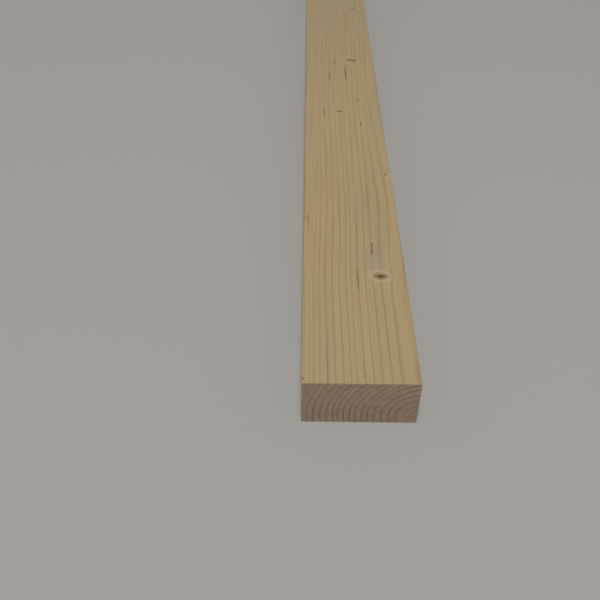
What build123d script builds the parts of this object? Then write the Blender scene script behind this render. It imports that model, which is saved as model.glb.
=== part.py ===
"""Planed softwood plank: one straight piece of timber, planed on four sides and cross-cut square.

It lies on one wide face, as it would on a level floor. X runs across the width, Y along the
grain and Z up, and the origin is the middle of the face that it rests on. Sizes are in millimetres.
"""

import os
from math import sqrt

from build123d import *

# The planed section, and the length that it is sold in.
WIDTH = 48.0
THICKNESS = 24.0
LENGTH = 2000.0

# The four long arrises are slightly eased. The arrises of the sawn ends stay sharp.
ARRIS_RADIUS = 0.6

# A knock has taken a small scoop out of the upper left arris, just behind the near end.
DENT_LENGTH = 1.8
DENT_DEPTH = 0.45
DENT_FROM_END = 2.7

# The scoop is part of a ball. Its chord is the dent's length and its sagitta the dent's depth.
dent_ball_radius = (DENT_LENGTH**2 / 4 + DENT_DEPTH**2) / (2 * DENT_DEPTH)

# The ball stands off the eased arris at 45 degrees, out from the middle of the arris curve.
dent_reach = ARRIS_RADIUS + dent_ball_radius - DENT_DEPTH
dent_centre = (
    -WIDTH / 2 + ARRIS_RADIUS - dent_reach / sqrt(2),
    -LENGTH / 2 + DENT_FROM_END,
    THICKNESS - ARRIS_RADIUS + dent_reach / sqrt(2),
)

with BuildPart() as plank:
    # The section stands on the near end and runs along the grain.
    with BuildSketch(Plane.XZ.offset(LENGTH / 2)):
        Rectangle(WIDTH, THICKNESS, align=(Align.CENTER, Align.MIN))
    extrude(amount=-LENGTH)

    # Easing the four long arrises.
    fillet(plank.edges().filter_by(Axis.Y), radius=ARRIS_RADIUS)

    # The dent in the upper left arris.
    with Locations(dent_centre):
        Sphere(dent_ball_radius, mode=Mode.SUBTRACT)

plank.part.label = "plank"

os.makedirs("parts", exist_ok=True)
export_step(plank.part, "parts/plank.step")
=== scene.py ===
"""Looks of a planed softwood plank that lies on a pale floor.

The wood is one solid. A model of the log says, for any point in it, how far the point lies from
the pith and which branches pass near it. The mesh takes its relief from that model and the finish
takes its colours from it, so a growth ring that meets the top face runs on down the end grain.
The model works in millimetres: X from the left edge across the width, Y from the near end along
the grain, and Z up from the face that the plank lies on.
"""

import logging
import math
from dataclasses import dataclass
from enum import Enum

import bpy
import numpy as np
from mathutils import Matrix, Vector


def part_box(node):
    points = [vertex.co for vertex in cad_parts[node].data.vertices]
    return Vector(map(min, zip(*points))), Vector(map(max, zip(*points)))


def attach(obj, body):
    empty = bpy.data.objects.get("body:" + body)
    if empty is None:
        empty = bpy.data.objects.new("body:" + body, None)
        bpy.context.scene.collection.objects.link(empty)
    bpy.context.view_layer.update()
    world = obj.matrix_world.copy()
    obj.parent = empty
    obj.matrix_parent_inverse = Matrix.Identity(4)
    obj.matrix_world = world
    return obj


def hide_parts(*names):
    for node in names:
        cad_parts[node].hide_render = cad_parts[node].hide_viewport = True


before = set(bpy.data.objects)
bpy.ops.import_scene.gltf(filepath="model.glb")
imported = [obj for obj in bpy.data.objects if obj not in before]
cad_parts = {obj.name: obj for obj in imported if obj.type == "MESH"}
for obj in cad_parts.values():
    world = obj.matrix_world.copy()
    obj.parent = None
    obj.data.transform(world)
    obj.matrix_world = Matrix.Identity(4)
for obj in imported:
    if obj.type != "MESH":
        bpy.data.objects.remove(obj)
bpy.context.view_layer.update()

MM = 0.001
MATT_SHINE = 0.2
NODE = "plank"

Socket = bpy.types.NodeSocket
logger = logging.getLogger("plank")


@dataclass(frozen=True)
class Field:
    """A number that varies over a surface: a shader socket that takes part in arithmetic."""

    bench: "Bench"
    socket: Socket

    def __add__(self, other: "Amount") -> "Field":
        """This number plus another."""
        return self.bench.maths("ADD", self, other)

    def __radd__(self, other: "Amount") -> "Field":
        """Another number plus this one. A sum starts from 0, which needs no node."""
        return self if isinstance(other, (int, float)) and other == 0 else self + other

    def __sub__(self, other: "Amount") -> "Field":
        """This number less another."""
        return self.bench.maths("SUBTRACT", self, other)

    def __rsub__(self, other: "Amount") -> "Field":
        """Another number less this one."""
        return self.bench.maths("SUBTRACT", other, self)

    def __mul__(self, other: "Amount") -> "Field":
        """This number times another."""
        return self.bench.maths("MULTIPLY", self, other)

    def __rmul__(self, other: "Amount") -> "Field":
        """Another number times this one."""
        return self * other

    def __truediv__(self, other: "Amount") -> "Field":
        """This number over another."""
        return self.bench.maths("DIVIDE", self, other)

    def __rtruediv__(self, other: "Amount") -> "Field":
        """Another number over this one."""
        return self.bench.maths("DIVIDE", other, self)

    def __abs__(self) -> "Field":
        """This number without its sign."""
        return self.bench.maths("ABSOLUTE", self)


Amount = float | np.ndarray | Field
Colour = tuple | Socket
Place = tuple[Amount, Amount, Amount]
Key = int | str
Values = dict | None


def ease(value: Amount, start: float, end: float) -> Amount:
    """Runs smoothly from 0 where the value is at start to 1 where it is at end.

    Args:
        value: The number that is read.
        start: Where the result is 0. It may lie above end.
        end: Where the result is 1.

    Returns:
        A number from 0 to 1.
    """
    if isinstance(value, Field):
        limits = {0: value, 1: start, 2: end, 3: 0.0, 4: 1.0}
        return value.bench.field("ShaderNodeMapRange", {"interpolation_type": "SMOOTHSTEP"}, limits)
    part = np.clip((value - start) / (end - start), 0.0, 1.0)
    return part * part * (3.0 - 2.0 * part)


def root(value: Amount) -> Amount:
    """The square root, with 0 for what is below 0."""
    return value.bench.maths("SQRT", value) if isinstance(value, Field) else np.sqrt(np.maximum(value, 0.0))


def at_least(value: Amount, least: float) -> Amount:
    """The value, or the least where the value is below it."""
    return value.bench.maths("MAXIMUM", value, least) if isinstance(value, Field) else np.maximum(value, least)


def past_whole(value: Amount) -> Amount:
    """What the value has above its last whole number."""
    return value.bench.maths("FRACT", value) if isinstance(value, Field) else value - np.floor(value)


def shade(*screen: int) -> tuple:
    """A colour as a screen shows it, turned into the light that it stands for.

    Args:
        screen: Red, green and blue, from 0 to 255.

    Returns:
        Linear red, green and blue, and an alpha of 1.
    """
    parts = [value / 255 for value in screen]
    light = [p / 12.92 if p <= 0.04045 else ((p + 0.055) / 1.055) ** 2.4 for p in parts]
    return (*light, 1.0)


def placed(name: str, data: bpy.types.ID) -> bpy.types.Object:
    """Puts a new object into the scene.

    Args:
        name: The object's name.
        data: Its mesh, light or camera.

    Returns:
        The object.
    """
    thing = bpy.data.objects.new(name, data)
    bpy.context.scene.collection.objects.link(thing)
    return thing


@dataclass(frozen=True)
class Clouds:
    """Cloudy noise: the size of its lumps each way, and how far they are shifted.

    Layers says how much finer noise it has, and fineness how strong that is. Middle is its usual
    value, and swing how far it ranges in all.
    """

    lumps: tuple
    shift: tuple = (0.0, 0.0, 0.0)
    layers: float = 2.0
    fineness: float = 0.5
    middle: float = 0.5
    swing: float = 1.0


class Bench:
    """A node tree, with one method that adds any node to it."""

    def __init__(self, tree: bpy.types.NodeTree) -> None:
        """Empties the node tree of a material or of the world."""
        self.tree = tree
        tree.nodes.clear()

    def node(self, kind: str, settings: Values = None, inputs: Values = None) -> bpy.types.Node:
        """Adds a node.

        Args:
            kind: The node's type.
            settings: Its properties by name. Stops are a ramp's places and colours.
            inputs: Values, fields or sockets, by the input's number, identifier or name.

        Returns:
            The new node.
        """
        made = self.tree.nodes.new(kind)
        for name, value in (settings or {}).items():
            if name == "stops":
                self.set_stops(made.color_ramp, value)
            else:
                setattr(made, name, value)
        for key, value in (inputs or {}).items():
            self.plug(self.find(made.inputs, key), value)
        return made

    @staticmethod
    def find(sockets: bpy.types.bpy_prop_collection, key: Key) -> Socket:
        """Finds one of a node's sockets.

        Args:
            sockets: Its inputs or its outputs.
            key: The socket's number, identifier or name.

        Returns:
            The socket.
        """
        if isinstance(key, int):
            return sockets[key]
        return next(socket for socket in sockets if key in (socket.identifier, socket.name))

    @staticmethod
    def set_stops(ramp: bpy.types.ColorRamp, stops: list) -> None:
        """Gives a ramp its stops.

        Args:
            ramp: A new ramp, whose first stop is at 0.
            stops: Pairs of a place from 0 to 1 and a colour, in order, the first at 0.
        """
        ramp.elements.remove(ramp.elements[-1])
        for place, _ in stops[1:]:
            ramp.elements.new(place)
        for element, (_, colour) in zip(ramp.elements, stops):
            element.color = colour

    def plug(self, socket: Socket, value: object) -> None:
        """Gives an input its value.

        Args:
            socket: The input.
            value: A field or a socket, which is linked to it, or a value, which is set.
        """
        value = value.socket if isinstance(value, Field) else value
        if isinstance(value, Socket):
            self.tree.links.new(value, socket)
        else:
            socket.default_value = value

    def field(self, kind: str, settings: Values = None, inputs: Values = None, output: Key = 0) -> Field:
        """Adds a node and takes one of its results, by number, identifier or name."""
        return Field(self, self.find(self.node(kind, settings, inputs).outputs, output))

    def maths(self, operation: str, *values: Amount) -> Field:
        """Adds a Math node with those operands."""
        return self.field("ShaderNodeMath", {"operation": operation}, dict(enumerate(values)))

    def vector(self, x: Amount, y: Amount, z: Amount) -> Socket:
        """Three numbers as one vector."""
        return self.node("ShaderNodeCombineXYZ", inputs={0: x, 1: y, 2: z}).outputs[0]

    def parts(self, vector: Socket) -> tuple[Field, Field, Field]:
        """A vector's three numbers."""
        split = self.node("ShaderNodeSeparateXYZ", inputs={0: vector})
        return tuple(Field(self, socket) for socket in split.outputs)

    def fitted(self, place: Socket | Field, scale: tuple, shift: tuple) -> Socket:
        """A vector scaled each way and then shifted."""
        inputs = {0: place, 1: scale, 2: shift}
        return self.node("ShaderNodeVectorMath", {"operation": "MULTIPLY_ADD"}, inputs).outputs[0]

    def noise(self, place: Place, clouds: Clouds) -> Field:
        """Adds noise.

        Args:
            place: Where it is read.
            clouds: What it is like.

        Returns:
            The noise.
        """
        spot = self.fitted(self.vector(*place), tuple(1 / size for size in clouds.lumps), clouds.shift)
        values = {"Vector": spot, "Scale": 1.0, "Detail": clouds.layers, "Roughness": clouds.fineness}
        raw = self.field("ShaderNodeTexNoise", inputs=values)
        return self.maths("MULTIPLY_ADD", raw, clouds.swing, clouds.middle - clouds.swing / 2)

    def mix(self, share: Amount, first: Colour, second: Colour) -> Socket:
        """The first colour where the share is 0 and the second where it is 1."""
        inputs = {"Factor_Float": share, "A_Color": first, "B_Color": second}
        return self.find(self.node("ShaderNodeMix", {"data_type": "RGBA"}, inputs).outputs, "Result_Color")

    def scaled(self, colour: Socket, amount: Amount) -> Socket:
        """A colour made brighter or darker by a factor."""
        inputs = {0: colour, "Scale": amount}
        return self.node("ShaderNodeVectorMath", {"operation": "SCALE"}, inputs).outputs[0]

    def matt_surface(self, inputs: dict) -> None:
        """Ends a material's tree with a matt surface.

        Args:
            inputs: What the surface has besides its shine, by the input's name.
        """
        values = {**inputs, "Specular IOR Level": MATT_SHINE}
        shader = self.node("ShaderNodeBsdfPrincipled", inputs=values)
        self.node("ShaderNodeOutputMaterial", inputs={0: shader.outputs[0]})


class Face(Enum):
    """The plank's long faces, numbered the way round its section from the bottom."""

    BOTTOM = 0
    RIGHT = 1
    TOP = 2
    LEFT = 3


@dataclass(frozen=True)
class Section:
    """The plank's sizes in millimetres."""

    width: float
    length: float
    thickness: float
    arris: float = 0.6

    @classmethod
    def of_frame(cls) -> "Section":
        """The sizes of the plank in the frame."""
        low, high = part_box(NODE)
        return cls(*(round(size / MM, 3) for size in high - low))

    def on(self, face: Face, across: float, along: float) -> tuple[float, float, float]:
        """A place on a long face.

        Args:
            face: The face.
            across: X on the top and bottom, and Z on the two edges.
            along: How far from the near end.

        Returns:
            The place.
        """
        if face in (Face.TOP, Face.BOTTOM):
            return (across, along, self.thickness if face is Face.TOP else 0.0)
        return (self.width if face is Face.RIGHT else 0.0, along, across)


@dataclass(frozen=True)
class GrowthRing:
    """One year's growth: how far its outer edge is from the pith, and how its latewood looks."""

    reach: float
    dark: float = 1.0
    red: float = 0.0


@dataclass(frozen=True)
class Change:
    """A smooth change from one place along the plank to another."""

    start: float
    end: float
    amount: float

    @staticmethod
    def total(changes: "tuple[Change, ...]", along: Amount) -> Amount:
        """What several changes come to at a place along the plank."""
        return sum(ease(along, change.start, change.end) * change.amount for change in changes)


@dataclass(frozen=True)
class Branch:
    """A branch that grew out of the pith. It shows as a knot where a face cuts it.

    Across, along and face say where it comes out, and radius is its own there. Tone, heart and
    halo say how dark the knot and its middle are and how pale the wood round it is. Flow is how
    wide the grain parts for it.
    """

    across: float
    along: float
    radius: float
    tone: float = 0.8
    heart: float = 0.5
    halo: float = 0.45
    flow: float = 3.0
    face: Face = Face.TOP


@dataclass(frozen=True)
class Streak:
    """A short stain along the grain, no deeper than it is wide."""

    across: float
    along: float
    width: float
    length: float
    strength: float
    face: Face = Face.TOP
    fade: tuple = (1.0, 0.25)

    def share(self, section: Section, place: Field) -> Field:
        """How strong the stain is at a place.

        Args:
            section: The plank's sizes.
            place: X, Y and Z as one vector.

        Returns:
            The streak's strength, fading to 0 at its edges.
        """
        half = (self.width / 2, self.length / 2, self.width / 2)
        centre = section.on(self.face, self.across, self.along)
        shift = tuple(-at / size for at, size in zip(centre, half))
        fitted = place.bench.fitted(place, tuple(1 / size for size in half), shift)
        away = place.bench.field("ShaderNodeVectorMath", {"operation": "LENGTH"}, {0: fitted}, "Value")
        return ease(away, *self.fade) * self.strength


@dataclass(frozen=True)
class Stain:
    """A colour that some streaks of the wood have taken, and those streaks. A streak can also be painted shade,
    as the one in the dent is.
    """

    colour: tuple
    streaks: tuple

    def laid(self, colour: Socket, section: Section, place: Field) -> Socket:
        """A colour with the stain laid over it."""
        share = sum(streak.share(section, place) for streak in self.streaks)
        return place.bench.mix(share, colour, self.colour)


@dataclass(frozen=True)
class Dent:
    """A scoop that a knock took out of the upper left arris."""

    length: float = 1.8
    depth: float = 0.45
    from_end: float = 2.7

    def ball(self, section: Section) -> tuple[np.ndarray, float]:
        """The ball whose surface the scoop follows.

        Args:
            section: The plank's sizes.

        Returns:
            The ball's centre and radius.
        """
        radius = (self.length**2 / 4 + self.depth**2) / (2 * self.depth)
        out = (section.arris + radius - self.depth) / math.sqrt(2)
        centre = (section.arris - out, self.from_end, section.thickness - section.arris + out)
        return np.array(centre), radius


@dataclass
class Survey:
    """What the log holds at a place.

    Across and up are where the place would be if no branch had pushed its grain aside. Reach is
    how much the rings bulge there. Tone, heart and halo say how far it belongs to a knot, to the
    knot's middle and to the pale wood round it.
    """

    across: Amount
    up: Amount
    reach: Amount = 0.0
    tone: Amount = 0.0
    heart: Amount = 0.0
    halo: Amount = 0.0


@dataclass(frozen=True)
class Log:
    """The tree that the plank was cut from. Its methods take numbers, arrays and fields alike.

    A span is a pair: where something begins, and where it is whole. The spans of a knot are in its
    radii, and those of a ring are in its width.
    """

    section: Section
    pith_across: float = 49.0
    pith_up: float = 5.0
    most_reach: float = 64.0
    squash: float = 0.27
    squash_span: tuple = (-2.0, 24.0)
    inner_span: tuple = (34.0, 43.0)
    branch_rise: float = 6.0
    least_girth: float = 0.3
    bulge: float = 0.15
    tone_span: tuple = (1.18, 0.78)
    heart_span: tuple = (0.7, 0.25)
    halo_span: tuple = (1.95, 1.3)
    late_start: tuple = (0.68, 0.95)
    late_stop: tuple = (1.0, 0.965)
    early_start: tuple = (0.02, 0.08)
    early_stop: tuple = (0.32, 0.12)

    rings: tuple = tuple(
        GrowthRing(*ring)
        for ring in (
            (1.7, 0.5), (3.8, 0.8), (6.8, 0.4), (10.3, 0.7), (13.4, 0.9), (16.5, 0.95),
            (19.6, 0.75, 0.15), (22.1, 0.75, 0.1), (24.5, 0.85), (27.1, 0.95, 0.15), (29.5, 1.0),
            (32.1, 0.95, 0.1), (34.5, 0.6), (36.4, 0.95), (38.9, 0.8), (41.7, 0.85), (44.6, 1.0),
            (47.2, 0.7), (49.3, 0.6), (50.9, 0.45), (52.6, 0.4), (55.0, 0.8), (57.9, 0.7), (61.0, 0.9),
        )
    )

    sways: tuple = (
        Change(55, 130, 1.9), Change(240, 375, 2.9), Change(385, 440, -0.6), Change(470, 660, -2.6),
        Change(700, 860, 2.3), Change(930, 1120, -1.7), Change(1180, 1300, 1.5), Change(1380, 1560, -2.2),
        Change(1600, 1790, 2.4), Change(1840, 1980, -1.2),
    )

    inner_sways: tuple = (
        Change(50, 68, 1.2), Change(80, 130, 0.9), Change(152, 172, -1.6), Change(190, 245, -1.9),
        Change(250, 400, 1.5), Change(450, 560, -1.2), Change(640, 700, 1.8), Change(760, 900, -1.6),
        Change(1000, 1240, 1.4), Change(1500, 1700, -1.3),
    )

    branches: tuple = (
        Branch(36.2, 66.8, 2.75, 0.8, 0.9, 0.9, 1.2), Branch(45.1, 155.2, 1.25, 0.8, 0.35, 0.6, 4),
        Branch(21.9, 229.8, 1.45, 0.8, 0.45, 0.55, 1.5), Branch(33.9, 245, 0.9, 0.5, 0, 0.1, 1),
        Branch(32.7, 308.2, 2.75, 0.85, 0.3, 0.35, 1.5), Branch(37.9, 410.5, 1.3, 0.75, 0.3, 0.1, 2),
        Branch(9, 196, 2, face=Face.LEFT), Branch(15.5, 478, 2.6, face=Face.LEFT),
        Branch(14.5, 562, 3, 0.85, 0.8, 0.6, 2.5), Branch(34, 566, 1.5, face=Face.BOTTOM), Branch(41, 668, 1.6),
        Branch(26.5, 889, 3.9, 0.85, 0.35, 0.5, 2), Branch(8, 897, 3.3, 0.85, 0.3, 0.5, 2, face=Face.LEFT),
        Branch(30, 1016, 1.3, face=Face.BOTTOM), Branch(9, 1092, 2.3, 0.85, 0.9, 0.6, 2.5),
        Branch(35.5, 1247, 3.2, 0.8, 0.5, 0.6, 2), Branch(14, 1385, 2.4, face=Face.LEFT),
        Branch(20, 1508, 2.6, 0.85, 0.8, 0.6, 2.5), Branch(42, 1696, 1.5), Branch(7, 1765, 2.8, face=Face.LEFT),
        Branch(29, 1872, 3.4, 0.85, 0.5, 0.6, 2.5),
    )

    def pith_at(self, along: Amount) -> Amount:
        """How far across the plank the pith lies."""
        return Change.total(self.sways, along) + self.pith_across

    def reach(self, place: Place) -> Amount:
        """How far a place lies from the pith, as the rings count it.

        The rings are a little wider towards the left edge than towards the top.

        Args:
            place: X, Y and Z.

        Returns:
            The distance, which is true towards the left edge.
        """
        x, y, z = place
        inner = Change.total(self.inner_sways, y) * ease(x, *self.inner_span)
        from_pith = self.pith_at(y) + inner - x
        up = z - self.pith_up
        stretch = ease(from_pith, *self.squash_span) * self.squash + 1.0
        return root(from_pith * from_pith + up * up * stretch)

    def part_grain(self, branch: Branch, place: Place) -> Survey:
        """What one branch does at a place.

        Args:
            branch: The branch, which is half as thick at the pith as where it comes out.
            place: X, Y and Z.

        Returns:
            A survey whose across, up and reach are how far the branch moves them.
        """
        start_along = branch.along - self.branch_rise
        start = (float(self.pith_at(start_along)), start_along, self.pith_up)
        end = self.section.on(branch.face, branch.across, branch.along)
        run = [to - at for to, at in zip(end, start)]
        long = math.hypot(*run)
        way = [step / long for step in run]
        from_start = [here - at for here, at in zip(place, start)]
        gone = sum(part * step for part, step in zip(from_start, way))
        apart = root(sum(part * part for part in from_start) - gone * gone)
        girth = at_least(gone * (0.5 / long) + 0.5, self.least_girth) * branch.radius
        near = apart / girth
        hold = branch.flow / (near * near + branch.flow)
        pull = hold * hold
        return Survey(
            across=(from_start[0] - gone * way[0]) * pull,
            up=(from_start[2] - gone * way[2]) * pull,
            reach=pull * (-self.bulge * branch.radius),
            tone=ease(near, *self.tone_span) * branch.tone,
            heart=ease(near, *self.heart_span) * branch.heart,
            halo=ease(near, *self.halo_span) * branch.halo,
        )

    def survey(self, place: Place) -> Survey:
        """What the log holds at a place.

        Args:
            place: X, Y and Z.

        Returns:
            The survey of that place.
        """
        total = Survey(across=0.0, up=0.0)
        for branch in self.branches:
            one = self.part_grain(branch, place)
            total = Survey(**{name: getattr(total, name) + value for name, value in vars(one).items()})
        total.across = place[0] - total.across
        total.up = place[2] - total.up
        return total

    def years(self, reach: Field) -> tuple[Field, Field, Field]:
        """Which ring a place lies in, and how that ring looks.

        Args:
            reach: How far the place is from the pith.

        Returns:
            The rings counted from the pith, how dark the ring's latewood is, and how red.
        """
        count = len(self.rings)
        stops = [(0.0, (0.0, 0.0, 0.0, 1.0))]
        for index, ring in enumerate(self.rings, 1):
            stops.append((ring.reach / self.most_reach, (index / count, ring.dark, ring.red, 1.0)))
        ramp = reach.bench.node("ShaderNodeValToRGB", {"stops": stops}, {0: reach / self.most_reach})
        age, dark, red = reach.bench.parts(ramp.outputs[0])
        return age * count, dark, red

    def age(self, reach: np.ndarray) -> np.ndarray:
        """The rings counted from the pith, for an array."""
        reaches = [0.0] + [ring.reach for ring in self.rings]
        return np.interp(reach, reaches, range(len(reaches)))

    def latewood(self, age: Amount) -> Amount:
        """How far a place lies in the dark wood that ends each year's growth."""
        part = past_whole(age)
        return ease(part, *self.late_start) * ease(part, *self.late_stop)

    def earlywood(self, age: Field) -> Field:
        """How far a place lies in the pale wood that begins each year's growth."""
        part = past_whole(age)
        return ease(part, *self.early_start) * ease(part, *self.early_stop)

    def slant(self, place: Place, normal: Place, reach: Field) -> Field:
        """How squarely a face cuts the rings.

        Args:
            place: X, Y and Z.
            normal: Which way the face looks.
            reach: How far the place is from the pith.

        Returns:
            1 where the face cuts straight across them, and 0 where it runs along one.
        """
        x, y, z = place
        along_ring = (self.pith_at(y) - x) * normal[2] + (z - self.pith_up) * normal[0]
        return abs(along_ring) / reach


@dataclass(frozen=True)
class PlanedWood:
    """The colours of the planed faces. A span is where something begins, and where it is whole."""

    early: tuple = shade(163, 143, 106)
    warm: tuple = shade(164, 143, 103)
    cool: tuple = shade(160, 142, 108)
    # Greyer, darker wood colour: partly painted shade that dims the stretch from 180 to 430 mm along, partly
    # greyer wood.
    grey_far_shade: tuple = shade(147, 134, 112)
    late: tuple = shade(129, 109, 68)
    late_red: tuple = shade(148, 106, 56)
    knot: tuple = shade(132, 113, 80)
    heart: tuple = shade(86, 58, 30)
    halo: tuple = shade(173, 154, 124)

    fading: Clouds = Clouds((3, 55, 3), (11, 0, 0), 1, middle=0.75, swing=1.2)
    warmth: Clouds = Clouds((14, 90, 14), (0, 0, 3))
    thread: Clouds = Clouds((1 / 1.5, 90, 1 / 1.5), layers=4, fineness=0.75, middle=1, swing=0.5)
    mottle: Clouds = Clouds((1 / 1.1, 1 / 0.8, 1 / 1.1), layers=3, fineness=0.6)

    warm_span: tuple = (0.45, 0.65)
    cool_span: tuple = (0.5, 0.3)
    late_share: float = 0.74
    late_changes: tuple = (Change(140, 210, -0.25), Change(290, 600, 0.25))
    warmth_changes: tuple = (Change(120, 420, -0.04),)
    # Where that greyer colour is laid in: painted shade from 180 to 430 mm along, mostly taken out again
    # beyond, partly greyer wood.
    grey_far_shade_changes: tuple = (Change(180, 430, 0.35), Change(430, 800, -0.3))
    halo_share: float = 0.3
    halo_mottle: float = 1.2
    knot_mottle: float = 0.8

    grey: Stain = Stain(shade(150, 137, 119), (Streak(33, 80, 13, 34, 0.45),))
    resin: Stain = Stain(
        shade(109, 83, 44),
        (
            Streak(33.6, 90.2, 1.4, 7, 0.75), Streak(33.3, 85.4, 1.6, 8, 0.75),
            Streak(25.5, 65.4, 1.4, 26, 0.55), Streak(27.6, 286.1, 2, 34, 0.68), Streak(7, 640, 1.2, 26, 0.6),
            Streak(17, 985, 1.1, 18, 0.8), Streak(11, 1610, 1, 20, 0.7), Streak(17, 330, 1, 18, 0.7, Face.LEFT),
            Streak(19, 940, 1.1, 28, 0.7, Face.RIGHT), Streak(12, 420, 1.1, 20, 0.7, Face.BOTTOM),
            Streak(34.4, 213.9, 1.5, 11, 0.6), Streak(16.4, 280.8, 1.6, 22, 0.55),
        ),
    )
    # Brown streaks of the wood, and painted shade in the dent.
    brown_and_dent_shade: Stain = Stain(
        shade(114, 94, 62),
        (
            # The first streak darkens the dent on the upper left arris: painted shade in the scoop, partly
            # bruised fibre.
            Streak(0.3, 2.7, 1.9, 2.6, 0.8), Streak(33.5, 66.6, 4, 3.4, 0.45), Streak(38.9, 66.8, 4, 3.2, 0.4),
            Streak(47.6, 179.2, 1.4, 3.5, 0.6), Streak(47.6, 71.4, 0.9, 26, 0.3),
            Streak(25.4, 4.6, 0.8, 6, 0.5), Streak(2, 112, 1.4, 13, 0.55), Streak(12.1, 228.8, 2, 17, 0.65),
            Streak(20.5, 304.5, 2, 18, 0.4), Streak(17.2, 307, 1.4, 22, 0.3), Streak(33.9, 245.4, 2.2, 6, 0.4),
            Streak(37.9, 411, 2.4, 9, 0.35), Streak(36.9, 91.4, 5, 50, 0.12), Streak(30.5, 742, 1, 14, 0.7),
            Streak(23, 1360, 1.2, 12, 0.8), Streak(33, 1785, 1, 15, 0.6),
            Streak(6, 1130, 1.2, 24, 0.7, Face.LEFT), Streak(15, 250, 1, 16, 0.7, Face.RIGHT),
            Streak(26, 1440, 1.2, 17, 0.7, Face.BOTTOM),
        ),
    )
    rust: Stain = Stain(
        shade(150, 106, 62),
        (
            Streak(36.2, 135, 5, 70, 0.1), Streak(33.6, 129.2, 1.1, 56, 0.5), Streak(38.3, 149.2, 1.1, 22, 0.5),
            Streak(47, 3.6, 1.3, 36, 0.45), Streak(45.1, 155.4, 2.8, 4, 0.28), Streak(39, 1150, 0.9, 30, 0.6),
        ),
    )

    def colour(self, log: Log, found: Survey, place: Place, ring: tuple[Field, Field]) -> Socket:
        """Mixes the colour of a place.

        Args:
            log: The model of the wood.
            found: What the log holds there.
            place: X, Y and Z.
            ring: How far the place lies in dark latewood, and how red that is.

        Returns:
            The colour.
        """
        along = place[1]
        late, red = ring
        bench = late.bench
        depth = late * bench.noise(place, self.fading)
        depth = depth * (Change.total(self.late_changes, along) + self.late_share)
        warmth = bench.noise(place, self.warmth) + Change.total(self.warmth_changes, along)
        colour = bench.mix(ease(warmth, *self.warm_span), self.early, self.warm)
        colour = bench.mix(ease(warmth, *self.cool_span), colour, self.cool)
        # Painted shade over the stretch from 180 to 430 mm along, partly greyer wood.
        colour = bench.mix(Change.total(self.grey_far_shade_changes, along), colour, self.grey_far_shade)
        colour = bench.mix(depth, colour, bench.mix(red, self.late, self.late_red))
        colour = bench.scaled(colour, bench.noise((found.across, along, found.up), self.thread))
        mottle = bench.noise(place, self.mottle)
        colour = bench.mix(found.halo * (mottle * self.halo_mottle + self.halo_share), colour, self.halo)
        colour = bench.mix(found.tone, colour, self.knot)
        colour = bench.mix(found.heart, colour, self.heart)
        colour = bench.scaled(colour, 1.0 + found.tone * (mottle - 0.5) * self.knot_mottle)
        spot = Field(bench, bench.vector(*place))
        # The dark streaks here also hold the painted shade in the dent.
        for stain in (self.grey, self.resin, self.brown_and_dent_shade, self.rust):
            colour = stain.laid(colour, log.section, spot)
        return colour


@dataclass(frozen=True)
class SawnWood:
    """The colours of the sawn ends, whose rings are dark lines low down and pale ones higher up.

    A span is where something begins, and where it is whole. Near the pith the upper part looks
    more like the lower part.
    """

    plain: tuple = shade(174, 151, 130)
    dark: tuple = shade(159, 137, 117)
    late: tuple = shade(126, 103, 83)
    fleck: tuple = shade(190, 169, 148)

    rays: Clouds = Clouds((1.6, 1 / 70, 50), layers=1)
    arcs: Clouds = Clouds((1 / 1.1, 1 / 9, 50), layers=3, fineness=0.6)
    grit: Clouds = Clouds((1 / 1.4, 4, 1 / 1.4), layers=3, fineness=0.65)
    patches: Clouds = Clouds((5, 50, 3.5), middle=0, swing=0.7)
    broken: Clouds = Clouds((1 / 0.8, 1 / 8, 50), (30, 0, 0), 1, middle=1, swing=1.6)

    patch_span: tuple = (0.28, 0.72)
    upper_span: tuple = (10.0, 17.0)
    upper_wave: float = 4.0
    pith_span: tuple = (36.0, 45.0)
    pith_loss: float = 0.45
    late_share: float = 0.82
    late_loss: float = 0.68
    arc_span: tuple = (0.42, 0.62)
    arc_share: float = 0.5
    ray_span: tuple = (0.54, 0.66)
    ray_up_span: tuple = (6.0, 14.0)
    ray_share: float = 0.35

    def colour(self, log: Log, place: Place, reach: Field, ring: tuple[Field, Field]) -> Socket:
        """Mixes the colour of a place.

        Args:
            log: The model of the wood.
            place: X, Y and Z.
            reach: How far the place is from the pith.
            ring: How far it lies in pale early wood, and how far in dark latewood.

        Returns:
            The colour.
        """
        x, y, z = place
        early, late = ring
        bench = late.bench
        up = z - log.pith_up
        ringwise = (reach, bench.maths("ARCTAN2", up, log.pith_at(y) - x), y)
        arcs = bench.noise(ringwise, self.arcs)
        patchy = bench.noise(place, self.grit) + bench.noise(place, self.patches)
        upper = ease(z + arcs * self.upper_wave, *self.upper_span)
        upper = upper * (1.0 - ease(x, *self.pith_span) * self.pith_loss)
        colour = bench.mix(ease(patchy, *self.patch_span), self.dark, self.plain)
        lines = late * (self.late_share - upper * self.late_loss) * bench.noise(ringwise, self.broken)
        colour = bench.mix(lines, colour, self.late)
        rays = ease(bench.noise(ringwise, self.rays), *self.ray_span) * ease(z, *self.ray_up_span)
        pale = early * upper * ease(arcs, *self.arc_span) * self.arc_share + rays * self.ray_share
        return bench.mix(pale, colour, self.fleck)


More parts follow.
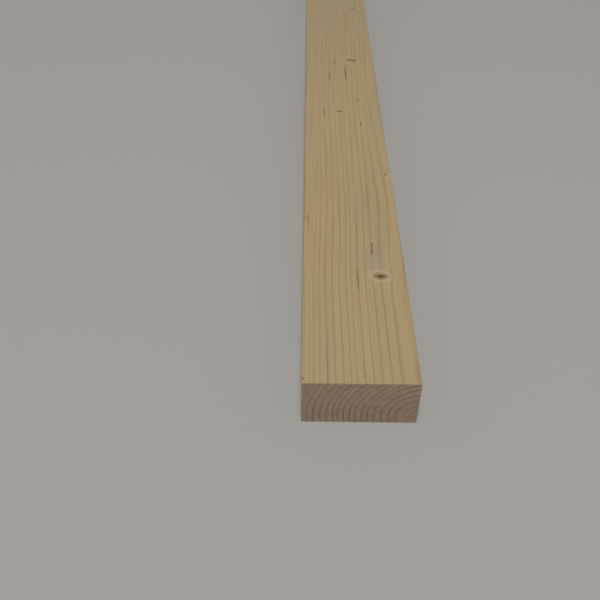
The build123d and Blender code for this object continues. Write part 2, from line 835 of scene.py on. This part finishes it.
@dataclass(frozen=True)
class SoftwoodFinish:
    """Bare spruce, planed on its long faces and sawn at its ends. Heights are in millimetres."""

    planed: PlanedWood = PlanedWood()
    sawn: SawnWood = SawnWood()

    ragged: Clouds = Clouds((1.7, 2.6, 1.7), middle=0, swing=1.3)
    frayed: Clouds = Clouds((1.3, 2.1, 1.3), (40, 0, 0), middle=0, swing=2.2)
    wander: Clouds = Clouds((9, 75, 9), middle=0, swing=1.1)
    tremble: Clouds = Clouds((2.5, 14, 2.5), (0, 7, 0), 1, middle=0, swing=0.3)
    fibre: Clouds = Clouds((1 / 5, 9, 1 / 5), middle=0.01, swing=0.02)
    torn: Clouds = Clouds((1 / 2.2, 1 / 2.2, 1 / 1.6), layers=4, fineness=0.7, middle=0.15, swing=0.3)

    cut_span: tuple = (0.35, 0.85)
    square_span: tuple = (0.02, 0.3)
    ring_height: float = 0.1
    roughness: float = 0.66
    late_polish: float = 0.08
    cut_roughness: float = 0.25
    heart_roughness: float = 0.1

    def material(self, log: Log) -> bpy.types.Material:
        """Makes the finish.

        Args:
            log: The model of the wood.

        Returns:
            The material.
        """
        material = bpy.data.materials.new("bare_softwood")
        material.use_nodes = True
        bench = Bench(material.node_tree)
        coordinates = bench.node("ShaderNodeTexCoord").outputs
        right, ahead, above = bench.parts(coordinates["Object"])
        x = right / MM + log.section.width / 2
        y = ahead / MM + log.section.length / 2
        z = above / MM
        place = (x, y, z)
        normal = bench.parts(coordinates["Normal"])
        cut = ease(abs(normal[1]), *self.cut_span)

        ragged = bench.noise(place, self.ragged)
        found = log.survey((x + ragged, y + bench.noise(place, self.frayed), z))
        waver = bench.noise(place, self.wander) + bench.noise(place, self.tremble)
        reach = log.reach((found.across - ragged, y, found.up)) + found.reach + waver
        age, dark, red = log.years(reach)
        late = log.latewood(age) * dark

        squarely = ease(log.slant(place, normal, at_least(reach, 1.0)), *self.square_span)
        planed = self.planed.colour(log, found, place, (late * squarely, red))
        sawn = self.sawn.colour(log, place, reach, (log.earlywood(age), late))
        colour = bench.mix(cut, planed, sawn)

        end_age, end_dark, _ = log.years(log.reach(place) + waver)
        fibre = bench.noise(place, self.fibre)
        torn = bench.noise(place, self.torn) + log.latewood(end_age) * end_dark * self.ring_height
        height = fibre + (torn - fibre) * cut
        bump = bench.node("ShaderNodeBump", inputs={"Strength": 1.0, "Distance": MM, "Height": height})
        roughness = self.roughness - late * self.late_polish + cut * self.cut_roughness
        roughness = roughness + found.heart * self.heart_roughness
        bench.matt_surface({"Base Color": colour, "Roughness": roughness, "Normal": bump.outputs[0]})
        return material


@dataclass(frozen=True)
class Side:
    """One long face with half of the arris at each edge: its points, and which way is out at each."""

    points: np.ndarray
    angles: np.ndarray


@dataclass(frozen=True)
class CuttingSheet:
    """The square sheet that the plank's skin is laid out on.

    The plank is cut into a near and a far half, which lie side by side as columns of four
    strips, and its ends lie above them. The first stretch has the most room, being the part that
    is seen from near. Sizes are in the sheet's pixels, of which it has 1024 a side.
    """

    pixels: int = 1024
    gap: float = 4.0
    column: float = 512.0
    run: float = 864.0
    close_run: float = 559.0
    close_length: float = 430.0
    end_scale: float = 5.8
    strips: tuple = (120.0, 88.0, 200.0, 88.0)

    def across(self, sides: list[Side]) -> np.ndarray:
        """Where the steps of the section's outline lie across a column.

        Args:
            sides: The four sides, in order.

        Returns:
            A row for each step, with its start and its end.
        """
        outline = np.concatenate([side.points for side in sides])
        steps = np.linalg.norm(np.roll(outline, -1, axis=0) - outline, axis=1)
        rows = []
        left = 0.0
        for side, strip in zip(sides, self.strips):
            own, steps = np.split(steps, [len(side.points)])
            walked = np.concatenate([[0.0], np.cumsum(own)])
            places = left + self.gap / 2 + walked / walked[-1] * (strip - self.gap / 2)
            rows.append(np.stack([places[:-1], places[1:]], axis=1))
            left += strip + self.gap
        return np.concatenate(rows)

    def along(self, stations: np.ndarray, length: float) -> np.ndarray:
        """Where the stretches between the stations lie on the sheet.

        Args:
            stations: Places along the plank, the middle one among them.
            length: The plank's length.

        Returns:
            A row for each stretch, with its column's left edge, its start and its end.
        """
        half = length / 2
        start, end = stations[:-1], stations[1:]
        far = (start + end) / 2 > half
        near_places = ([0.0, self.close_length, half], [0.0, self.close_run, self.run])
        places = [
            np.where(far, (edge - half) / half * self.run, np.interp(edge, *near_places)) + self.gap / 2
            for edge in (start, end)
        ]
        return np.stack([far * self.column, *places], axis=1)

    def end(self, x: np.ndarray, z: np.ndarray, far: bool) -> np.ndarray:
        """Where points of an end lie on the sheet."""
        across = self.gap + far * self.column + x * self.end_scale
        return np.stack([across, self.run + 3 * self.gap + z * self.end_scale], axis=-1)


@dataclass(frozen=True)
class Plank:
    """The plank's mesh, with the relief of its arrises, its dent, its knots and its sawn ends."""

    section: Section
    log: Log
    finish: SoftwoodFinish
    dent: Dent = Dent()
    sheet: CuttingSheet = CuttingSheet()
    arris_steps: int = 4
    edge_step: float = 0.25
    flat_step: float = 0.85
    flat_growth: float = 0.2
    end_step: float = 0.35
    dent_step: float = 0.2
    knot_step: float = 1.0
    longest_step: float = 11.0
    length_growth: float = 0.55
    fine_places: int = 40001
    sharp_angle: float = 40.0
    heart_sink: float = 0.098
    tone_sink: float = 0.042
    ring_relief: float = 0.05
    deepest_part: float = 0.88
    saw_relief: float = 0.05
    saw_drift: float = 7.0
    saw_waves: tuple = ((1.7, 0.6, 0.0), (0.9, -2.1, 1.0), (2.9, 1.3, 2.0), (-3.3, 2.4, 4.0))
    rim_wear: float = 0.07
    wear_waves: tuple = (2.3, 1.9, 2.0)

    def lines(self, length: float, points: list, growth: float, longest: float) -> np.ndarray:
        """Places from 0 to a length, close together near given points.

        Args:
            length: The last place.
            points: Pairs of a point and the step there.
            growth: How fast the step grows with distance from a point.
            longest: The longest step.

        Returns:
            The places, ends included.
        """
        fine = np.linspace(0.0, length, self.fine_places)
        steps = np.min([step + growth * np.abs(fine - point) for point, step in points], axis=0)
        counted = np.concatenate([[0.0], np.cumsum(np.diff(fine) / np.minimum(steps, longest)[1:])])
        return np.interp(np.linspace(0.0, counted[-1], round(counted[-1]) + 1), counted, fine)

    def flat_lines(self, size: float) -> np.ndarray:
        """Places across a flat face, between its arrises.

        Args:
            size: The plank's width or thickness.

        Returns:
            The places, in X or in Z.
        """
        flat = size - 2 * self.section.arris
        ends = [(0.0, self.edge_step), (flat, self.edge_step)]
        return self.section.arris + self.lines(flat, ends, self.flat_growth, self.flat_step)

    def stations(self) -> np.ndarray:
        """Places along the plank, close together at its ends, its dent and its knots.

        Returns:
            The places, the plank's middle among them.
        """
        half = self.section.length / 2
        points = [(0.0, self.end_step), (self.dent.from_end, self.dent_step)]
        points += [(branch.along, self.knot_step) for branch in self.log.branches]
        points += [(self.section.length, self.end_step)]
        near = self.lines(half, points, self.length_growth, self.longest_step)
        beyond = [(point - half, step) for point, step in points]
        far = self.lines(half, beyond, self.length_growth, self.longest_step)
        return np.concatenate([near, half + far[1:]])

    def sides(self, across: np.ndarray, up: np.ndarray) -> list[Side]:
        """The section's outline, walked from the middle of the lower left arris.

        Args:
            across: The flat faces' lines in X.
            up: The flat faces' lines in Z.

        Returns:
            The bottom, the right edge, the top and the left edge.
        """
        s = self.section
        flats = {
            Face.BOTTOM: [(x, 0.0) for x in across],
            Face.RIGHT: [(s.width, z) for z in up],
            Face.TOP: [(x, s.thickness) for x in across[::-1]],
            Face.LEFT: [(0.0, z) for z in up[::-1]],
        }
        half = self.arris_steps // 2
        sides = []
        for face, flat in flats.items():
            facing = math.radians(90 * face.value - 90)
            out = np.array([math.cos(facing), math.sin(facing)])
            before = np.linspace(facing - math.pi / 4, facing, half, endpoint=False)
            after = np.linspace(facing, facing + math.pi / 4, half, endpoint=False)[1:]
            arcs = [
                np.array(corner) + s.arris * (np.stack([np.cos(turn), np.sin(turn)], axis=1) - out)
                for corner, turn in ((flat[0], before), (flat[-1], after))
            ]
            angles = np.concatenate([before, np.full(len(flat), facing), after])
            sides.append(Side(np.concatenate([arcs[0], np.array(flat), arcs[1]]), angles))
        return sides

    def saw_depth(self, place: Place) -> np.ndarray:
        """How deep the saw has bitten into an end.

        Args:
            place: X, Y and Z. Y tells one end from the other.

        Returns:
            The depth below a flat end, never less than 0.
        """
        x, y, z = place
        ring = np.cos(2 * math.pi * (self.log.age(self.log.reach(place)) - self.deepest_part))
        waves = [np.sin(a * x + b * z + c + y / self.saw_drift) for a, b, c in self.saw_waves]
        rough = sum(waves) / len(waves)
        return self.ring_relief * (0.5 - 0.5 * ring) + self.saw_relief * (0.5 + 0.5 * rough)

    def skin(self, sides: list[Side], stations: np.ndarray) -> np.ndarray:
        """The points of the long faces.

        Args:
            sides: The four sides.
            stations: Places along the plank.

        Returns:
            The points, one turn of the outline for each station.
        """
        outline = np.concatenate([side.points for side in sides])
        angles = np.concatenate([side.angles for side in sides])
        x, y = np.meshgrid(outline[:, 0], stations)
        z = np.broadcast_to(outline[:, 1], x.shape)
        found = self.log.survey((x, y, z))
        sunk = self.heart_sink * found.heart + self.tone_sink * found.tone
        x, z = x - np.cos(angles) * sunk, z - np.sin(angles) * sunk
        across, up, bend = self.wear_waves
        worn = self.rim_wear * np.abs(np.sin(outline[:, 0] * across + np.sin(outline[:, 1] * up) * bend))
        for row, inward in ((0, 1.0), (-1, -1.0)):
            y[row] += inward * (self.saw_depth((outline[:, 0], y[row], outline[:, 1])) + worn)
        return np.stack([x, y, z], axis=-1).reshape(-1, 3)

    def end_points(self, across: np.ndarray, up: np.ndarray, far: bool) -> np.ndarray:
        """The points inside an end's rim.

        Args:
            across: Their lines in X.
            up: Their lines in Z.
            far: Whether this is the far end.

        Returns:
            The points, a column of Z for each X.
        """
        x, z = np.meshgrid(across, up, indexing="ij")
        y = np.full_like(x, self.section.length if far else 0.0)
        y += (-1.0 if far else 1.0) * self.saw_depth((x, y, z))
        return np.stack([x, y, z], axis=-1).reshape(-1, 3)

    def end_faces(self, sides: list[Side], columns: int, rows: int) -> tuple[np.ndarray, np.ndarray]:
        """The faces of an end, numbered from the rim's first point and then inwards.

        The grid inside has two steps for each step of the rim, and the arris curves close on its
        corners.

        Args:
            sides: The four sides.
            columns: How many lines the grid has in X.
            rows: How many it has in Z.

        Returns:
            The grid's squares, and the triangles that join it to the rim.
        """
        rim = sum(len(side.points) for side in sides)
        grid = rim + np.arange(columns * rows).reshape(columns, rows)
        squares = np.stack([grid[:-1, :-1], grid[1:, :-1], grid[1:, 1:], grid[:-1, 1:]], axis=-1)
        border = np.concatenate([grid[:-1, 0], grid[-1, :-1], grid[:0:-1, -1], grid[0, :0:-1]])
        half = self.arris_steps // 2
        met = []
        passed = 0
        for side in sides:
            flat = np.arange(len(side.points) - 2 * half + 1) * 2
            met += [passed] * half + list(passed + flat) + [passed + flat[-1]] * (half - 1)
            passed += flat[-1]
        triangles = []
        for at, (here, there) in enumerate(zip(met, met[1:] + [passed])):
            beyond = (at + 1) % rim
            near = [border[step % passed] for step in range(here, there + 1)]
            if here == there:
                triangles.append((near[0], at, beyond))
            else:
                triangles += [(at, near[1], near[0]), (at, beyond, near[1]), (beyond, near[2], near[1])]
        return squares.reshape(-1, 4), np.array(triangles)

    def scoop(self, points: np.ndarray) -> np.ndarray:
        """Presses the dent into a set of points.

        Args:
            points: The points.

        Returns:
            The points, of which those within the dent's ball are moved out to its surface.
        """
        centre, radius = self.dent.ball(self.section)
        away = points - centre
        distance = np.linalg.norm(away, axis=1, keepdims=True)
        return np.where(distance < radius, centre + away / distance * radius, points)

    def build(self) -> bpy.types.Object:
        """Makes the plank and gives it its finish.

        Returns:
            The piece, in the frame's place.
        """
        s = self.section
        flats = [self.flat_lines(s.width), self.flat_lines(s.thickness)]
        halved = [np.interp(np.arange(2 * len(line) - 1) / 2, np.arange(len(line)), line) for line in flats]
        stations = self.stations()
        sides = self.sides(*flats)
        outline = np.concatenate([side.points for side in sides])
        points = [self.skin(sides, stations)]
        rings = np.arange(len(points[0])).reshape(len(stations), len(outline))
        turned = np.roll(rings, -1, axis=1)
        quads = np.stack([rings[:-1], rings[1:], turned[1:], turned[:-1]], axis=-1)
        faces = quads.reshape(-1, 4).tolist()
        left, right = self.sheet.across(sides).T
        column, start, end = (part[:, None] for part in self.sheet.along(stations, s.length).T)
        corners = ((left, start), (left, end), (right, end), (right, start))
        laid = [np.stack(np.broadcast_arrays(column + edge, place), axis=-1) for edge, place in corners]
        spread = [np.stack(laid, axis=2).reshape(-1, 2)]
        squares, triangles = self.end_faces(sides, len(halved[0]), len(halved[1]))
        for far in (False, True):
            first = sum(len(part) for part in points)
            points.append(self.end_points(*halved, far))
            numbers = np.concatenate([rings[-1 if far else 0], first + np.arange(len(points[-1]))])
            flat = np.concatenate([outline, points[-1][:, (0, 2)]])
            flat[:, 0] = s.width - flat[:, 0] if far else flat[:, 0]
            for shapes in (squares, triangles):
                shapes = shapes[:, ::-1] if far else shapes
                faces += numbers[shapes].tolist()
                spread.append(self.sheet.end(flat[:, 0], flat[:, 1], far)[shapes].reshape(-1, 2))
        return self.piece(self.scoop(np.concatenate(points)), faces, np.concatenate(spread))

    def piece(self, points: np.ndarray, faces: list, spread: np.ndarray) -> bpy.types.Object:
        """Turns points and faces into a finished object.

        Args:
            points: The points, in millimetres from the lower left corner of the near end.
            faces: The numbers of each face's points.
            spread: Where each face's corners lie on the cutting sheet, in its pixels.

        Returns:
            The object.
        """
        low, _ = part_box(NODE)
        mesh = bpy.data.meshes.new("planed_plank")
        mesh.from_pydata((points * MM + np.array(low)).tolist(), [], faces)
        layer = mesh.uv_layers.new(name="OFBake")
        layer.data.foreach_set("uv", (spread / self.sheet.pixels).ravel())
        mesh.polygons.foreach_set("use_smooth", [True] * len(mesh.polygons))
        mesh.set_sharp_from_angle(angle=math.radians(self.sharp_angle))
        mesh.materials.append(self.finish.material(self.log))
        plank = placed("planed_plank", mesh)
        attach(plank, "root")
        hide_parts(NODE)
        return plank


@dataclass(frozen=True)
class Studio:
    """A pale floor, under two soft lamps that shine the same way and weaker light from all round.

    The high lamp lights the whole floor alike, and the near one makes it a little brighter where
    it is aimed. Sizes are in metres. A share is how much of a bright floor's light comes from that
    source where the lamps are aimed.
    """

    floor_radius: float = 40.0
    floor_corners: int = 96
    floor_colour: tuple = shade(160, 157, 153)
    floor_roughness: float = 0.7
    sky_share: float = 0.3
    high_share: float = 0.46
    near_share: float = 0.26
    near_distance: float = 1.45
    aim: tuple = (0.0, -1.0, 0.0)
    toward_lamps: tuple = (-0.12, -1.05, 4.0)
    lamp_spread: float = 12.0

    def build(self) -> None:
        """Makes the floor, the sky and the lamps."""
        self.floor()
        self.sky_light()
        spread = math.radians(self.lamp_spread)
        width = 2 * self.near_distance * math.tan(spread / 2)
        near_power = self.near_share * (math.pi * self.near_distance) ** 2
        self.lamp("high_soft_lamp", "SUN", self.high_share * math.pi, {"angle": spread})
        self.lamp("near_soft_lamp", "AREA", near_power, {"shape": "DISK", "size": width})

    def floor(self) -> None:
        """Lays the floor."""
        turns = np.linspace(0.0, 2 * math.pi, self.floor_corners, endpoint=False)
        rim = [(self.floor_radius * math.cos(turn), self.floor_radius * math.sin(turn), 0.0) for turn in turns]
        mesh = bpy.data.meshes.new("pale_floor")
        mesh.from_pydata(rim, [], [range(len(rim))])
        material = bpy.data.materials.new("pale_floor")
        material.use_nodes = True
        surface = {"Base Color": self.floor_colour, "Roughness": self.floor_roughness}
        Bench(material.node_tree).matt_surface(surface)
        mesh.materials.append(material)
        placed("pale_floor", mesh)

    def sky_light(self) -> None:
        """Lights the scene evenly from all round. What is seen there is the far floor's colour."""
        world = bpy.data.worlds.new("soft_studio")
        world.use_nodes = True
        bpy.context.scene.world = world
        bench = Bench(world.node_tree)
        path = bench.node("ShaderNodeLightPath").outputs
        looks = sum(Field(bench, path[f"Is {kind} Ray"]) for kind in ("Camera", "Glossy", "Transmission"))
        light = (self.sky_share, self.sky_share, self.sky_share, 1.0)
        far_floor = tuple(part * (self.sky_share + self.high_share) for part in self.floor_colour[:3])
        seen = bench.mix(looks, light, (*far_floor, 1.0))
        background = bench.node("ShaderNodeBackground", inputs={"Color": seen, "Strength": 1.0})
        bench.node("ShaderNodeOutputWorld", inputs={0: background.outputs[0]})

    def lamp(self, name: str, kind: str, power: float, settings: dict) -> None:
        """Hangs a lamp that is not seen itself.

        Args:
            name: The lamp's name.
            kind: The light's type.
            power: Its energy, if it hung straight above the place that it is aimed at.
            settings: The light's other properties by name.
        """
        out = Vector(self.toward_lamps).normalized()
        light = bpy.data.lights.new(name, kind)
        light.energy = power / out.z
        for key, value in settings.items():
            setattr(light, key, value)
        lamp = placed(name, light)
        lamp.location = Vector(self.aim) + out * self.near_distance
        lamp.rotation_mode = "QUATERNION"
        lamp.rotation_quaternion = out.to_track_quat("Z", "Y")
        lamp.visible_camera = False


@dataclass(frozen=True)
class Viewpoint:
    """Where the camera stands and looks.

    The place is in millimetres from the lower left corner of the plank's near end, and the angles
    are in degrees. The focal length is in widths of the picture, and it sees from nearest to
    farthest, in metres.
    """

    place: tuple = (1.06, -187.26, 236.42)
    down: float = 41.9
    left: float = 0.54
    roll: float = 0.24
    focal: float = 1.1832
    nearest: float = 0.01
    farthest: float = 200.0

    def build(self) -> None:
        """Makes the camera."""
        low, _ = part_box(NODE)
        camera = bpy.data.cameras.new("photographer")
        camera.lens = self.focal * camera.sensor_width
        camera.clip_start = self.nearest
        camera.clip_end = self.farthest
        seen = placed("photographer", camera)
        matrix = Matrix.Translation(low + Vector(self.place) * MM)
        for angle, axis in ((self.left, "Z"), (90.0 - self.down, "X"), (self.roll, "Z")):
            matrix @= Matrix.Rotation(math.radians(angle), 4, axis)
        seen.matrix_world = matrix
        bpy.context.scene.camera = seen


def main() -> None:
    """Builds the plank, the studio and the camera."""
    logging.basicConfig(level=logging.INFO, format="%(name)s: %(message)s")
    section = Section.of_frame()
    plank = Plank(section, Log(section), SoftwoodFinish()).build()
    logger.info("%s has %d faces", plank.name, len(plank.data.polygons))
    Studio().build()
    Viewpoint().build()
    bpy.context.scene.view_settings.view_transform = "Standard"


if __name__ == "__main__":
    main()
